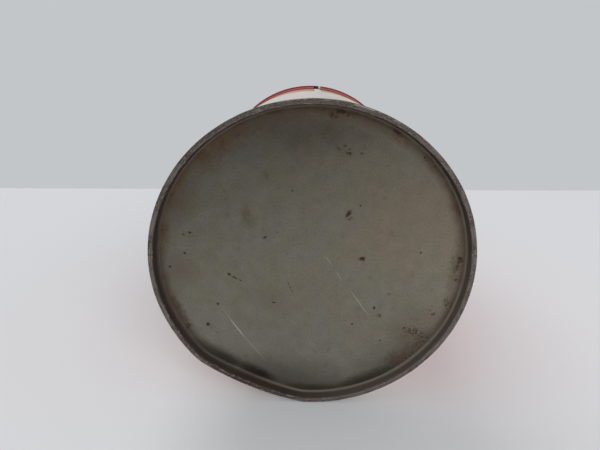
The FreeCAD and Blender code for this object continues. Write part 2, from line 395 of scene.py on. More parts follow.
def add_node(tree, kind, *inputs, sockets=None, **settings):
    """Add a node, set it up and fill or link its inputs in order, then by name. Gives its first output."""
    kind, preset = kind if isinstance(kind, tuple) else (kind, {})
    node = tree.nodes.new(kind)
    for name, value in {**preset, **settings}.items():
        setattr(node, name, value)
    wanted = list(zip([socket for socket in node.inputs if socket.enabled], inputs))
    wanted += [(node.inputs[name], value) for name, value in (sockets or {}).items()]
    for socket, value in wanted:
        if isinstance(value, bpy.types.NodeSocket):
            tree.links.new(value, socket)
        elif value is not None:
            socket.default_value = value
    return next((socket for socket in node.outputs if socket.enabled), None)


def start_nodes(owner):
    """Empty the nodes of a material or a world. Gives the function that adds to them."""
    owner.use_nodes = True
    owner.node_tree.nodes.clear()
    return partial(add_node, owner.node_tree)


def start_finish(name):
    """New material. Gives it, the function that adds its nodes, and the place on it in millimetres."""
    material = bpy.data.materials.new(name)
    add = start_nodes(material)
    place = add(SCALED, add("ShaderNodeTexCoord").node.outputs["Object"], 1 / MM)
    return material, add, place


def end_finish(add, tone, metallic, roughness, relief, depth, **uniform):
    """Close a material with its shader. Relief of 1 stands depth metres high."""
    normal = add("ShaderNodeBump", sockets={"Strength": 1.0, "Distance": depth, "Height": relief})
    sockets = {"Base Color": tone, "Metallic": metallic, "Roughness": roughness, "Normal": normal}
    for name, value in uniform.items():
        sockets[name.replace("_", " ").title()] = value
    shader = add("ShaderNodeBsdfPrincipled", sockets=sockets)
    add("ShaderNodeOutputMaterial", sockets={"Surface": shader})


def marks(add, place, listed, softness):
    """Mask of listed ellipses, 1 inside and fading over the outer share given by softness."""
    mask = 0.0
    for x, y, half_length, half_width, turn, strength in listed:
        # Each mark waits for the one before: worked out all at once, they are too much for one shader
        waited = add(STRETCHED_PLUS, mask, (0, 0, 1e-6), place) if mask else place
        local = add("ShaderNodeMapping", waited, (x, y, 0), (0, 0, math.radians(turn)),
                    (half_length, half_width, 1), vector_type="TEXTURE")
        reach = add(LENGTH, local)
        spot = add(RANGE, reach, 1 - softness, 1 + softness, strength, 0.0, interpolation_type="SMOOTHSTEP")
        mask = add(LARGER, mask, spot)
    return mask


def scratch_marks(listed):
    """The same listing as marks() takes, for scratches from point to point."""
    for x0, y0, x1, y1, half_width, strength in listed:
        run = Vector((x1 - x0, y1 - y0))
        turn = math.degrees(math.atan2(run.y, run.x))
        yield (x0 + x1) / 2, (y0 + y1) / 2, run.length / 2, half_width, turn, strength


def tarnished_tinplate(colours):
    """Steel sheet with a thin coat of tin, dulled by years of damp shelves."""
    # A dim, soft mirror: grey with brown bloom towards the edge, dark rust in pin holes of the coat.
    material, add, place = start_finish("tarnished_tinplate")
    flat = add(STRETCHED, place, (1, 1, 0))
    cloud = add(NOISE, flat, 1 / 26, 3.0, 0.6)
    mottle = add(NOISE, flat, 1 / 5, 5.0, 0.62)
    # Crystal grain of the coat, drawn at 0.6 mm so that it shows
    grain = add(NOISE, flat, 1 / 0.6, 2.0, 0.7)
    # The side that lay open to the air has browned towards -x and +y
    browned = add(ALONG, flat, (-0.0035, 0.0022, 0))
    warm = add(RANGE, add(PLUS, cloud, browned), 0.44, 0.72, 0.0, 1.0)
    tone = add(BLEND, warm, colours.panel, colours.panel_warm)
    upward = add(SPLIT, flat).node.outputs["Y"]
    olive = add(NOISE, flat, 1 / 9, 3.0, 0.55)
    olive = add(TIMES, add(RANGE, olive, 0.4, 0.6, 0.0, 0.75), add(RANGE, upward, -32.0, -12.0, 0.15, 1.0))
    olive = add(TIMES, olive, add(RANGE, warm, 0.0, 1.0, 1.0, 0.3))
    tone = add(BLEND, olive, tone, colours.panel_olive)
    # Painted reflection: the panel is painted lighter towards -y and -x and darker towards +y, standing for
    # the pale floor in front of the lying tin that the lower part of its base mirrors
    lean = add(ALONG, flat, (-0.49, -0.87, 0))
    tone = add(SCALED, tone, add(RANGE, lean, -45.0, 45.0, 0.78, 1.59))
    tone = add(SCALED, tone, add(RANGE, mottle, 0.3, 0.7, 0.9, 1.09))
    tone = add(SCALED, tone, add(RANGE, grain, 0.25, 0.75, 0.85, 1.15))
    # Bloom: close to the corner of the panel and in the listed stains, broken up by the mottle
    radius = add(LENGTH, flat)
    rough_radius = add(TIMES_PLUS, mottle, 7.0, radius)
    edge = add(RANGE, rough_radius, 48.6, 53.0, 0.0, add(RANGE, lean, -45.0, 35.0, 0.95, 0.6))
    wander = add(NOISE, flat, 1 / 1.6, 5.0, 0.7).node.outputs["Color"]
    wander = add(AWAY, wander, (0.5, 0.5, 0.5))
    far_ragged = add(STRETCHED_PLUS, wander, (8, 8, 0), flat)
    stain = marks(add, far_ragged, STAINS, 0.8)
    stain = add(TIMES, stain, add(RANGE, mottle, 0.35, 0.6, 0.5, 1.0))
    # Rust breaks out where a spot and the grit of about 0.8 mm add up, so that every spot is ragged
    ragged = add(STRETCHED_PLUS, wander, (1.6, 1.6, 0), flat)
    spot = marks(add, ragged, RUST_SPOTS, 0.9)
    brown = most(add, edge, stain, add(TIMES, spot, 0.55))
    tone = add(BLEND, brown, tone, colours.bloom)
    # Painted shade: the panel darkened along its edge and beside the knock
    tone = add(BLEND, marks(add, ragged, PAINTED_EDGE_SHADE, 0.85), tone, colours.grime)
    grit = add(NOISE, flat, 1 / 0.8, 4.0, 0.7)
    grit = add(TIMES_PLUS, brown, 0.13, grit)
    rust = add(TIMES_PLUS, spot, 0.4, grit)
    rust = add(RANGE, rust, 0.67, 0.82, 0.0, 0.8)
    tone = add(BLEND, rust, tone, colours.rust)
    # Smudges about 1 mm across, in some of the cells of a 4 mm mesh
    cell = add(CELLS, far_ragged, voronoi_dimensions="2D", sockets={"Scale": 1 / 4})
    chosen = add(SPLIT, cell.node.outputs["Color"]).node.outputs["X"]
    smudge = add(TIMES, add(RANGE, cell, 0.03, 0.22, 1.0, 0.0), add(RANGE, chosen, 0.6, 1.0, 0.0, 0.36))
    tone = add(BLEND, smudge, tone, colours.bloom)
    scratch = marks(add, flat, tuple(scratch_marks(SCRATCHES)), 0.45)
    tone = add(BLEND, scratch, tone, colours.scratch)
    dull = add(LARGER, rust, brown)
    metallic = add(RANGE, dull, 0.0, 1.0, 0.92, 0.7)
    roughness = add(PLUS, add(RANGE, mottle, 0.3, 0.7, 0.34, 0.42), add(RANGE, dull, 0.0, 1.0, 0.0, 0.22))
    relief = add(TIMES_PLUS, rust, -0.6, add(TIMES, grain, 0.3))
    relief = add(TIMES_PLUS, scratch, -0.5, relief)
    end_finish(add, tone, metallic, roughness, relief, 0.03 * MM)
    return material


def rubbed_seam_tinplate(colours):
    """The same sheet where it was folded into the seam and stood on for years."""
    # The coat is broken all over: light and dark speckle, grime down the hollow, and at its foot a bend of
    # cleaner tinplate whose lighter tone is partly a painted highlight.
    material, add, place = start_finish("rubbed_seam_tinplate")
    # Speckle drawn at 0.9 mm and rubbed lines at 0.5 mm so that they show
    speck = add(NOISE, place, 1 / 0.9, 2.5, 0.6)
    patch = add(NOISE, place, 1 / 7, 3.0, 0.6)
    x, y, height = add(SPLIT, place).node.outputs
    radius = add(LENGTH, add(JOIN, x, y))
    turn = add(TURN, x, add(TIMES, y, -1.0))
    round_way = add(JOIN, turn, radius, height)
    round_way = add(STRETCHED, round_way, (50 / 5, 1 / 0.5, 1 / 0.5))
    lines = add(NOISE, round_way, 1.0, 2.0, 0.6)
    speck = add(TIMES_PLUS, lines, 0.6, add(TIMES, speck, 0.5))
    inner = add(RANGE, radius, *RING_INSIDE, 1.0, 0.0)
    bend = add(TIMES, inner, add(RANGE, height, 3.0, 3.35, 0.0, 1.0))
    # Painted light: the grime in the hollow fades towards -x and -y, and the bend shows its lighter tone
    # towards -x and -y and towards +y, where these faces catch the light
    lean = add(ALONG, place, (-0.85, -0.5, 0))
    # Painted light: the hollow is painted lighter towards -x and -y
    hollow = add(TIMES, inner, add(RANGE, lean, 20.0, 50.0, 1.0, 0.1))
    # Painted highlight: where the bend shows its lighter tone
    bend_highlight = add(PLUS, add(RANGE, lean, 8.0, 50.0, 0.0, 0.62), add(RANGE, y, 5.0, 38.0, 0.0, 0.3))
    grime = add(PLUS, speck, add(RANGE, patch, 0.3, 0.7, -0.08, 0.08))
    grime = add(RANGE, grime, 0.525, 0.565, 0.0, 0.9)
    grime = add(MIX, inner, grime, hollow)
    grime = add(MIX, bend, grime, add(MINUS, 1.0, bend_highlight))
    tone = add(BLEND, bend, colours.seam, colours.bend)
    tone = add(BLEND, grime, tone, colours.seam_dark)
    # What the tin stands on is rubbed brightest
    stood_on = add(RANGE, radius, 50.2, 50.8, 1.0, 0.15)
    stood_on = add(TIMES, stood_on, add(RANGE, height, 0.2, 0.9, 1.0, 0.0))
    fleck = add(TIMES, add(RANGE, speck, 0.59, 0.67, 0.0, 0.34), stood_on)
    tone = add(BLEND, fleck, tone, colours.scratch)
    nick = marks(add, place, (SEAM_NICK,), 0.4)
    tone = add(BLEND, nick, tone, colours.scratch)
    matt = most(add, grime, add(MINUS, inner, bend, use_clamp=True))
    metallic = add(RANGE, matt, 0.0, 1.0, 0.8, 0.3)
    roughness = add(RANGE, grime, 0.0, 1.0, 0.3, 0.6)
    end_finish(add, tone, metallic, roughness, speck, 0.08 * MM)
    return material


def plain_tinplate(colours):
    """Bright tinplate that ink and damp never reached."""
    # A pale satin mirror with a faint yellow bloom and faint rolling lines.
    material, add, place = start_finish("plain_tinplate")
    bloom = add(NOISE, place, 1 / 14, 4.0, 0.6)
    grain = add(NOISE, add(STRETCHED, place, (1.0, 1.0, 0.06)), 1 / 0.8, 2.0)
    yellow = add(RANGE, bloom, 0.4, 0.68, 0.0, 0.9)
    tone = add(BLEND, yellow, colours.inside, colours.inside_warm)
    speckle = add(RANGE, grain, 0.3, 0.7, 0.93, 1.06)
    tone = add(SCALED, tone, speckle)
    # Brown age spots about 12 mm apart
    spot = add(CELLS, place, sockets={"Scale": 1 / 12, "Randomness": 1.0})
    spot = add(RANGE, spot, 0.03, 0.09, 0.7, 0.0)
    tone = add(BLEND, spot, tone, colours.bloom)
    roughness = add(RANGE, bloom, 0.3, 0.7, 0.26, 0.42)
    end_finish(add, tone, 1.0, roughness, grain, 0.01 * MM)
    return material


def browned_rim_tinplate(colours):
    """Lacquered sheet of the rolled rim, darker on its crown and polished by fingers."""
    # Dull red with a darker crown, burnt black beside the side seam; the flanks' red is painted paler, a
    # painted light that offsets the shade under the crown.
    material, add, place = start_finish("browned_rim_tinplate")
    patch = add(NOISE, place, 1 / 9, 4.0, 0.65)
    speck = add(NOISE, place, 1 / 0.8, 3.0, 0.7)
    worn = add(PLUS, patch, add(TIMES, speck, 0.35))
    worn = add(RANGE, worn, 0.66, 0.86, 0.0, 0.35)
    x, y, _ = add(SPLIT, place).node.outputs
    radius = add(LENGTH, add(JOIN, x, y))
    crown = add(RANGE, radius, *RIM_CROWN, 0.0, 0.95)
    tone = add(BLEND, most(add, worn, crown), colours.roll, colours.roll_worn)
    # Burnt patch and solder across the rim at the side seam: middle and half width along x, colour
    back = add(ABOVE, y, 0.0)
    for middle, half, ink in ((0.55, 1.35, colours.grime), (-1.35, 0.55, colours.solder)):
        patch = add(TIMES, add(NEAR, x, middle, half), back)
        tone = add(BLEND, patch, tone, ink)
    roughness = add(RANGE, worn, 0.0, 1.0, 0.55, 0.34)
    end_finish(add, tone, 0.45, roughness, speck, 0.03 * MM)
    return material


def dull_solder(colours):
    """Tin-lead solder wiped along the side seam."""
    # Dull grey with wipe ripples and burnt flux at its edges.
    material, add, place = start_finish("dull_solder")
    ripple = add(NOISE, add(STRETCHED, place, (0.5, 0.5, 1.0)), 1 / 1.8, 3.0, 0.6)
    flux = add(NOISE, place, 1 / 3.5, 4.0, 0.7)
    flux = add(RANGE, flux, 0.54, 0.72, 0.0, 0.6)
    tone = add(BLEND, flux, colours.solder, colours.solder_dark)
    roughness = add(RANGE, ripple, 0.3, 0.7, 0.38, 0.58)
    end_finish(add, tone, 0.3, roughness, ripple, 0.12 * MM)
    return material


def rounded(add, place, centre, half, corner):
    """Distance in millimetres to the edge of a rectangle with round corners, less than 0 inside it."""
    away = add(FOLDED, add(AWAY, place, centre))
    away = add(AWAY, away, (half[0] - corner, half[1] - corner, 0))
    outside = add(LENGTH, add(VECTOR, away, (0, 0, 0), operation="MAXIMUM"))
    x, y, _ = add(SPLIT, away).node.outputs
    inside = add(MATH, add(LARGER, x, y), 0.0, operation="MINIMUM")
    distance = add(PLUS, outside, inside)
    return add(MINUS, distance, corner)


def most(add, *masks):
    """The strongest of several masks."""
    strongest = masks[0]
    for mask in masks[1:]:
        strongest = add(LARGER, strongest, mask)
    return strongest


def stitches(add, run, pitch):
    """Mask of running stitches, each 0.6 of the pitch long, by the way run along their line."""
    share = add(MATH, add(TIMES, run, 1 / pitch), operation="FRACT")
    return add(BELOW, share, 0.6)


def aged_inks(add, place, colours):
    """Red and cream inks, faded and yellowed in clouds about 30 mm across."""
    age = add(NOISE, place, 1 / 30, 5.0, 0.6)
    yellowed = add(RANGE, age, 0.36, 0.68, 0.0, 1.0)
    faded = add(RANGE, age, 0.4, 0.72, 0.0, 0.75)
    cream = add(BLEND, yellowed, colours.cream, colours.cream_aged)
    red = add(BLEND, faded, colours.red, colours.red_faded)
    return red, cream


def worn_ink(add, tone, place, sheet, bias, bare, colours):
    """Close an ink finish: grime, scratches, and scuffs to bare metal where bias is high or bare is 1."""
    scuff = add(NOISE, place, 1 / 8, 8.0, 0.68)
    worn = add(PLUS, scuff, bias)
    thinned = add(RANGE, worn, 0.6, 0.7, 0.0, 0.45)
    tone = add(BLEND, thinned, tone, colours.ink_thin)
    # Scratches drawn 0.4 mm wide so that they show
    drawn = add(STRETCHED, sheet, (0.035, 1.2, 0))
    scratch = add(NOISE, drawn, 1.0, 2.0, 0.5)
    upright = add(STRETCHED, sheet, (1.2, 0.05, 0))
    scratch = most(add, scratch, add(NOISE, upright, 1.0, 2.0, 0.5))
    scratch = add(RANGE, scratch, 0.71, 0.75, 0.0, 0.5)
    tone = add(BLEND, scratch, tone, colours.scratch)
    grime = add(NOISE, place, 1 / 3, 6.0, 0.7)
    grime = add(TIMES_PLUS, bias, 0.6, grime)
    tone = add(BLEND, add(RANGE, grime, 0.56, 0.82, 0.0, 0.6), tone, colours.bloom)
    metal = most(add, add(RANGE, worn, 0.7, 0.72, 0.0, 1.0), bare)
    tone = add(BLEND, metal, tone, colours.bare)
    # Rust grit of about 0.8 mm starts on the bared patches
    rust = add(NOISE, place, 1 / 0.8, 3.0, 0.7)
    rust = add(PLUS, add(RANGE, worn, 0.55, 0.75, 0.0, 0.18), rust)
    rust = add(RANGE, rust, 0.7, 0.76, 0.0, 0.85)
    tone = add(BLEND, rust, tone, colours.rust)
    metallic = add(MINUS, metal, rust, use_clamp=True)
    roughness = add(RANGE, most(add, thinned, rust, grime), 0.3, 0.9, 0.3, 0.5)
    relief = add(TIMES_PLUS, metal, -0.5, add(TIMES, scuff, 0.3))
    end_finish(add, tone, metallic, roughness, relief, 0.03 * MM, coat_weight=0.25, coat_roughness=0.18)


def litho_print(colours):
    """Inks printed flat on tinplate and stoved under varnish, before the wall is rolled."""
    # Flat opaque inks with a soft gloss: dotted red flanks, a cream label, cream round the side seam.
    material, add, place = start_finish("litho_print")
    x, y, height = add(SPLIT, place).node.outputs
    turn = add(TURN, x, add(TIMES, y, -1.0))
    around = add(TIMES, turn, WALL_RADIUS)
    aside = add(MATH, around, operation="ABSOLUTE")
    level = add(MINUS, height, LABEL_MIDDLE)
    sheet = add(JOIN, around, level)
    folded = add(FOLDED, sheet)
    red, cream = aged_inks(add, place, colours)
    tone = dotted_flanks(add, red, cream, sheet, aside, colours)
    label = rounded(add, folded, (0, 0, 0), LABEL_HALF, LABEL_CORNER)
    below_band = add(BELOW, height, BAND_FOOT)
    back = add(ABOVE, aside, BACK_EDGE)
    foot = add(BELOW, height, FOOT_TOP)
    on_label = add(BELOW, label, 0.0)
    pale = most(add, on_label, add(TIMES, back, below_band), foot)
    tone = add(BLEND, pale, tone, cream)
    frieze = add(ABOVE, height, FRIEZE_FOOT)
    frieze = add(TIMES, frieze, add(TIMES, back, below_band))
    tone = add(BLEND, frieze, tone, colours.buff)
    # Red dots on the frieze, in one row
    half_pitch, one_row = math.pi * WALL_RADIUS / FRIEZE_DOTS, 100
    bead = add(SHIFTED, sheet, (half_pitch, LABEL_MIDDLE - (BAND_FOOT + FRIEZE_FOOT) / 2, 0))
    bead = add(REPEATED, bead, (half_pitch, one_row, 1), (-half_pitch, -one_row, -1))
    bead = add(BELOW, add(LENGTH, bead), 1.7)
    tone = add(BLEND, add(TIMES, bead, frieze), tone, red)
    back_line = add(NEAR, aside, BACK_EDGE, 0.7)
    gilt = most(add, add(NEAR, label, 0.0, 0.7), add(NEAR, label, -LABEL_LINE_INSET, 0.25),
                add(NEAR, height, BAND_FOOT, 1.2), add(NEAR, height, FOOT_TOP, 0.6),
                add(TIMES, back_line, below_band), add(TIMES, back, add(NEAR, height, FRIEZE_FOOT, 0.4)))
    tone = add(BLEND, gilt, tone, colours.gold)
    tone = sewn_borders(add, tone, red, cream, (label, around, height, folded))
    tone = reel_and_needles(add, tone, red, cream, sheet, folded, colours)
    rim_wear = add(RANGE, height, 126.0, 141.0, 0.0, 0.16)
    foot_wear = add(RANGE, height, 18.0, 4.0, 0.0, 0.17)
    unprinted = add(ABOVE, aside, SEAM_MARGIN)
    worn_ink(add, tone, place, sheet, most(add, rim_wear, foot_wear), unprinted, colours)
    return material


def dotted_flanks(add, red, cream, sheet, aside, colours):
    """Red ground with staggered cream and bronze dots."""
    tone = red
    # No dot is cut by the label or by the line down the back
    near, far = LABEL_HALF[0] + 2, BACK_EDGE - 3
    flank = add(NEAR, aside, (far + near) / 2, (far - near) / 2)
    level = add(SPLIT, sheet).node.outputs["Y"]
    flank = add(TIMES, flank, add(NEAR, level, 0.0, LABEL_HALF[1]))
    half = DOT_PITCH / 2
    for shift, size, ink in ((0.0, 1.35, cream), (half, 0.8, colours.gold)):
        moved = add(SHIFTED, sheet, (shift, shift, 0))
        reach = add(LENGTH, add(REPEATED, moved, (half, half, 1), (-half, -half, -1)))
        dot = add(BELOW, reach, size)
        tone = add(BLEND, add(TIMES, dot, flank), tone, ink)
    return tone


def sewn_borders(add, tone, red, cream, places):
    """Running stitches inside the label, along the foot and round the red band."""
    label, around, height, folded = places
    across, upward, _ = add(SPLIT, folded).node.outputs
    border = add(NEAR, label, -LABEL_STITCH_INSET, 0.5)
    # Shifted so that a whole stitch lies in the middle of each side
    run = add(MINUS, add(PLUS, across, upward), 0.55)
    border = add(TIMES, border, stitches(add, run, LABEL_STITCH_PITCH))
    # Whole stitches go round, so that they meet at the side seam
    girth = 2 * math.pi * WALL_RADIUS
    low = add(NEAR, height, FOOT_STITCH_HEIGHT, 0.5)
    low = add(TIMES, low, stitches(add, around, girth / FOOT_STITCHES))
    tone = add(BLEND, most(add, border, low), tone, red)
    high = add(NEAR, height, BAND_STITCH_HEIGHT, 0.6)
    high = add(TIMES, high, stitches(add, around, girth / BAND_STITCHES))
    return add(BLEND, high, tone, cream)


def reel_and_needles(add, tone, red, cream, sheet, folded, colours):
    """Label picture: a reel of red thread before two crossed needles, with a button on each side."""
    needle = marks(add, folded, (NEEDLE,), 0.08)
    tone = add(BLEND, needle, tone, colours.steel)
    across, upward, _ = add(SPLIT, sheet).node.outputs
    mirrored = add(JOIN, add(MATH, across, operation="ABSOLUTE"), upward)
    eye = marks(add, mirrored, (NEEDLE_EYE,), 0.1)
    tone = add(BLEND, eye, tone, cream)
    thread = add(BELOW, rounded(add, folded, (0, 0, 0), REEL_HALF, 3.0), 0.0)
    tone = add(BLEND, thread, tone, red)
    slope = add(TIMES_PLUS, across, 0.12, upward)
    strand = add(TIMES, thread, stitches(add, slope, STRAND_PITCH))
    tone = add(BLEND, strand, tone, colours.thread)
    flange = rounded(add, folded, FLANGE_MIDDLE, FLANGE_HALF, 1.6)
    tone = add(BLEND, add(BELOW, flange, 0.0), tone, colours.wood)
    outline = add(NEAR, flange, 0.0, 0.3)
    tone = add(BLEND, outline, tone, colours.rust)
    button = add(FOLDED, add(AWAY, folded, BUTTON_MIDDLE))
    reach = add(LENGTH, button)
    tone = add(BLEND, add(BELOW, reach, BUTTON_RADIUS), tone, red)
    hole = add(LENGTH, add(AWAY, button, BUTTON_HOLE))
    light = most(add, add(NEAR, reach, 4.0, 0.22), add(BELOW, hole, 0.7))
    return add(BLEND, light, tone, cream)


def stoved_lid_enamel(colours):
    """Stoved enamel and inks on the pressed cap of the lid."""
    # The print's red with a large button in the middle, worn to metal along the bends.
    material, add, place = start_finish("stoved_lid_enamel")
    x, y, height = add(SPLIT, place).node.outputs
    sheet = add(JOIN, x, y)
    radius = add(LENGTH, sheet)
    turn = add(TURN, y, x)
    red, cream = aged_inks(add, place, colours)
    scallop = add(MATH, add(TIMES, turn, SCALLOPS), operation="COSINE")
    doily = add(TIMES_PLUS, scallop, -0.9, radius)
    cell = add(MATH, turn, math.pi / LID_DOTS, -math.pi / LID_DOTS, operation="WRAP")
    dot = add(JOIN, add(MINUS, radius, LID_DOTS_RADIUS), add(TIMES, cell, LID_DOTS_RADIUS))
    dot = add(BELOW, add(LENGTH, dot), 1.25)
    ring = add(NEAR, radius, LID_STITCH_RADIUS, 0.55)
    sewn = add(TIMES, ring, stitches(add, turn, 2 * math.pi / LID_STITCHES))
    pale = most(add, add(BELOW, doily, DOILY_RADIUS), dot, sewn, add(NEAR, radius, 42.6, 0.3))
    tone = add(BLEND, pale, red, cream)
    gilt = most(add, *[add(NEAR, radius, middle, half) for middle, half in LID_LINES])
    tone = add(BLEND, gilt, tone, colours.gold)
    tone = add(BLEND, add(BELOW, radius, LID_BUTTON), tone, red)
    hole = add(LENGTH, add(AWAY, add(FOLDED, sheet), LID_BUTTON_HOLE))
    light = most(add, add(NEAR, radius, 9.8, 0.4), add(BELOW, hole, 1.6))
    tone = add(BLEND, light, tone, cream)
    corner = add(RANGE, radius, 43.6, 45.2, 0.0, 0.17)
    corner = add(TIMES, corner, add(RANGE, height, 148.6, 150.2, 0.0, 1.0))
    rim = add(RANGE, radius, 50.2, 51.1, 0.0, 0.17)
    worn_ink(add, tone, place, sheet, most(add, corner, rim), 0.0, colours)
    return material


def bent(corners):
    """Face of a bent sheet through corners of (radius, height, bend radius), with each bend as an arc."""
    path = [np.array(corners[0][:2])]
    for before, corner, after in zip(corners, corners[1:], corners[2:]):
        place = np.array(corner[:2])
        if not corner[2]:
            path.append(place)
            continue
        back = np.array(before[:2]) - place
        onward = np.array(after[:2]) - place
        back /= np.linalg.norm(back)
        onward /= np.linalg.norm(onward)
        half = math.acos(np.clip(back @ onward, -1, 1)) / 2
        middle = back + onward
        centre = place + middle / np.linalg.norm(middle) * corner[2] / math.sin(half)
        begin = place + back * corner[2] / math.tan(half) - centre
        end = place + onward * corner[2] / math.tan(half) - centre
        path += list(arc(centre, begin, end))
    path.append(np.array(corners[-1][:2]))
    return np.array(path)


def arc(centre, begin, end, count=9):
    """Points of the shorter arc about centre, from begin to end, both measured from it."""
    first = math.atan2(begin[1], begin[0])
    sweep = (math.atan2(end[1], end[0]) - first + math.pi) % (2 * math.pi) - math.pi
    turns = first + sweep * np.linspace(0, 1, count)
    return centre + np.linalg.norm(begin) * np.stack((np.cos(turns), np.sin(turns)), axis=1)


def divided(path, step):
    """The same path with no run longer than step and no repeated point."""
    points = [path[0]]
    for begin, end in zip(path, path[1:]):
        run = np.linalg.norm(end - begin)
        if run > 1e-7:
            pieces = max(1, math.ceil(run / step))
            points += [begin + (end - begin) * share for share in np.arange(1, pieces + 1) / pieces]
    return np.array(points)


def thickened(face, gauge):
    """Closed section of a sheet: one face, then the other, a gauge to the left of it, back again."""
    runs = np.diff(face, axis=0)
    runs /= np.linalg.norm(runs, axis=1)[:, None]
    normals = np.stack((-runs[:, 1], runs[:, 0]), axis=1)
    before = np.vstack((normals[:1], normals))
    after = np.vstack((normals, normals[-1:]))
    mitre = (before + after) / (1 + (before * after).sum(axis=1))[:, None]
    return np.vstack((face, (face + gauge * mitre)[::-1]))


def turned(section, angles):
    """Rows of points, one for each point of a section, turned round the tin's axis."""
    radius, height = section[:, :1], section[:, 1:]
    rows = (radius * np.cos(angles), radius * np.sin(angles), height + 0 * angles)
    return np.stack(rows, axis=2)


def closed_mesh(name, rows, finishes):
    """Mesh over rows of points that close both ways. A row on the axis becomes one point."""
    count, around = rows.shape[:2]
    index = np.arange(count * around).reshape(count, around)
    on_axis = np.hypot(rows[..., 0], rows[..., 1]).max(axis=1) < 1e-9
    index[on_axis] = index[on_axis][:, :1]
    faces, slots = [], []
    for run in range(count):
        after = (run + 1) % count
        if on_axis[run] and on_axis[after]:
            continue
        for column in range(around):
            beside = (column + 1) % around
            loop = (index[run, column], index[run, beside], index[after, beside], index[after, column])
            faces.append(list(dict.fromkeys(int(number) for number in loop)))
            slots.append(finishes[run])
    return clean_mesh(name, rows, faces, slots)


def capped_mesh(name, rows):
    """Mesh over rows of closed loops, with a face at each end."""
    count, around = rows.shape[:2]
    faces = [list(range(around)), list(range((count - 1) * around, count * around))]
    for low in range(0, (count - 1) * around, around):
        for column in range(around):
            beside = (column + 1) % around
            faces.append([low + column, low + beside, low + around + beside, low + around + column])
    return clean_mesh(name, rows, faces, [0] * len(faces))


def clean_mesh(name, rows, faces, slots):
    """Mesh with no unused points, facing outwards and shaded smooth except at cut edges."""
    mesh = bpy.data.meshes.new(name)
    mesh.from_pydata(rows.reshape(-1, 3).tolist(), [], faces)
    mesh.polygons.foreach_set("material_index", slots)
    working = bmesh.new()
    working.from_mesh(mesh)
    loose = [point for point in working.verts if not point.link_faces]
    bmesh.ops.delete(working, geom=loose, context="VERTS")
    bmesh.ops.recalc_face_normals(working, faces=working.faces)
    working.to_mesh(mesh)
    working.free()
    mesh.shade_smooth()
    mesh.set_sharp_from_angle(angle=CUT_EDGE)
    return mesh


def put_in_place(mesh, finishes, body, node):
    """Object of a finished mesh, riding on its body in place of its CAD node. Finishes are shared."""
    piece = bpy.data.objects.new(mesh.name, mesh)
    bpy.context.scene.collection.objects.link(piece)
    for finish in finishes:
        material = bpy.data.materials.get(finish.__name__) or finish(bpy.context.scene.tin_colours)
        mesh.materials.append(material)
    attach(piece, body)
    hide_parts(node)


def fold_radius(sizes):
    """Outer bend of a sheet folded back over another."""
    return 1.5 * sizes.gauge + sizes.fold_gap


def round_angles(extra=()):
    """Even angles round the tin, with extra ones where detail is finer."""
    even = np.arange(ROUND) * 2 * math.pi / ROUND
    return np.unique(np.concatenate((even, np.mod(extra, 2 * math.pi)))) if len(extra) else even


def smooth(share):
    """Smooth step from 0 to 1."""
    share = np.clip(share, 0, 1)
    return share * share * (3 - 2 * share)


def worn_round(points, seam_radius):
    """Points moved by use: the knock in the base seam, and a faint waviness of the sheet."""
    wear = bpy.context.scene.tin_wear
    x, y, z = np.moveaxis(points, -1, 0)
    radius = np.maximum(np.hypot(x, y), 1e-9)
    turn = np.arctan2(y, x)
    away = (turn - wear.dent_angle + math.pi) % (2 * math.pi) - math.pi
    across = np.clip(1 - (away / wear.dent_half_angle) ** 2, 0, 1) ** 1.1
    beside, half_angle, share = BESIDE_KNOCK
    across = across + share * np.exp(-((away - beside) / half_angle) ** 2)
    fade = np.exp(-(z / wear.dent_reach) ** 2)
    inner = smooth((radius - wear.dent_inner) / (seam_radius - wear.dent_inner))
    shift = -wear.dent_depth * across * fade * inner
    give = wear.wall_wave * (radius / seam_radius) ** 4 * smooth((WALL_HIGH.z - z) / RIM_FADE - 0.3)
    for count, share, phase in WALL_WAVES:
        shift = shift + give * share * np.cos(count * turn + phase)
    moved = points.copy()
    moved[..., 0] = x * (1 + shift / radius)
    moved[..., 1] = y * (1 + shift / radius)
    return moved


class TINBOX_OT_base_end(bpy.types.Operator):
    """Pressed base: sunk panel, chuck wall and the seam folded round the wall's hook."""

    bl_idname = "tinbox.base_end"
    bl_label = "Base end"

    def execute(self, context):
        sizes, wear = context.scene.tin_sizes, context.scene.tin_wear
        fold = fold_radius(sizes)
        chuck = sizes.body_radius - 2 * sizes.gauge - sizes.fold_gap
        hook = sizes.body_radius + sizes.fold_gap
        face = bent((
            (0, sizes.panel_height),
            (chuck, sizes.panel_height, sizes.panel_corner),
            (chuck, 0, sizes.seam_corner),
            (sizes.seam_radius, 0, sizes.seam_corner),
            (sizes.seam_radius, sizes.seam_height, fold),
            (hook, sizes.seam_height, fold),
            (hook, sizes.end_hook_foot),
        ))
        face = divided(face, BASE_RUN)
        rows = turned(thickened(face, sizes.gauge), round_angles())
        rows = worn_round(rows, sizes.seam_radius)
        rows[..., 2] += self.panel_wave(rows, chuck - sizes.panel_corner, wear)
        panel = face[:-1, 0] < chuck - 0.8 * sizes.panel_corner
        front = [0 if flat else 1 for flat in panel] + [1]
        mesh = closed_mesh("base_end_tinplate", rows, front + [2] * len(face))
        finishes = (tarnished_tinplate, rubbed_seam_tinplate, plain_tinplate)
        put_in_place(mesh, finishes, "tin", "base_end")
        return {"FINISHED"}

    @staticmethod
    def panel_wave(rows, panel_radius, wear):
        """Heights of the panel's unevenness, with the sag beside the knock."""
        x, y = rows[..., 0] / panel_radius, rows[..., 1] / panel_radius
        inside = np.clip(1 - x * x - y * y, 0, 1)
        wave = sum(share * np.cos(across * x + up * y + phase) for share, across, up, phase in PANEL_WAVES)
        away = np.hypot(x - math.cos(wear.dent_angle), y - math.sin(wear.dent_angle))
        sag = np.exp(-(away / SAG_HALF) ** 2) * smooth(inside / 0.1)
        return wear.panel_wave * wave * smooth(inside) + wear.dent_sag * sag


